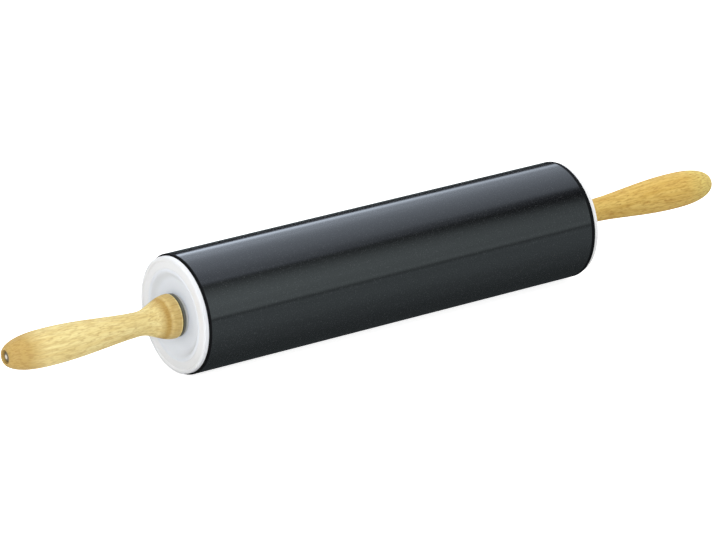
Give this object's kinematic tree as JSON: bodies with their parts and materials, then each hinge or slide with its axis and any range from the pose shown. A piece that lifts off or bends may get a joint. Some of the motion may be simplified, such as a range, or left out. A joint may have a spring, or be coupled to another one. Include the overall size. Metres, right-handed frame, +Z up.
{
  "type": "rolling pin",
  "caption": "Rolling pin with a black non-stick steel barrel, white moulded end caps and turned wooden handles; the barrel spins freely on a steel axle.",
  "frame": {"origin": "middle of the barrel on the spin axis", "axes": "+X along the spin axis towards the right handle, +Z up, -Z towards the table"},
  "size_m": [0.4572, 0.0648, 0.0648],
  "materials": {
    "nonstick_coating": "semi-gloss black non-stick coating with a fine speckle",
    "cap_plastic": "satin moulded, cool white",
    "bush_plastic": "satin moulded bearing plastic",
    "bright_steel": "drawn bright steel",
    "dull_steel": "oiled dark spring steel",
    "handle_wood": "turned pale beech, sanded and waxed"
  },
  "bodies": {
    "spindle": {"axle_rod": "bright_steel", "left_thrust_washer": "dull_steel", "right_thrust_washer": "dull_steel", "left_clip_washer": "bright_steel", "right_clip_washer": "bright_steel", "left_retaining_clip": "dull_steel", "right_retaining_clip": "dull_steel", "left_handle": "handle_wood", "right_handle": "handle_wood", "left_rivet_washer": "bright_steel", "right_rivet_washer": "bright_steel"},
    "barrel": {"barrel_tube": "nonstick_coating", "left_end_cap": "cap_plastic", "right_end_cap": "cap_plastic", "left_axle_bush": "bush_plastic", "right_axle_bush": "bush_plastic"}
  },
  "joints": [
    {"name": "barrel_spin", "type": "hinge", "parent": "spindle", "child": "barrel", "pos_m": [0, 0, 0], "axis": [1, 0, 0], "continuous": true}
  ]
}
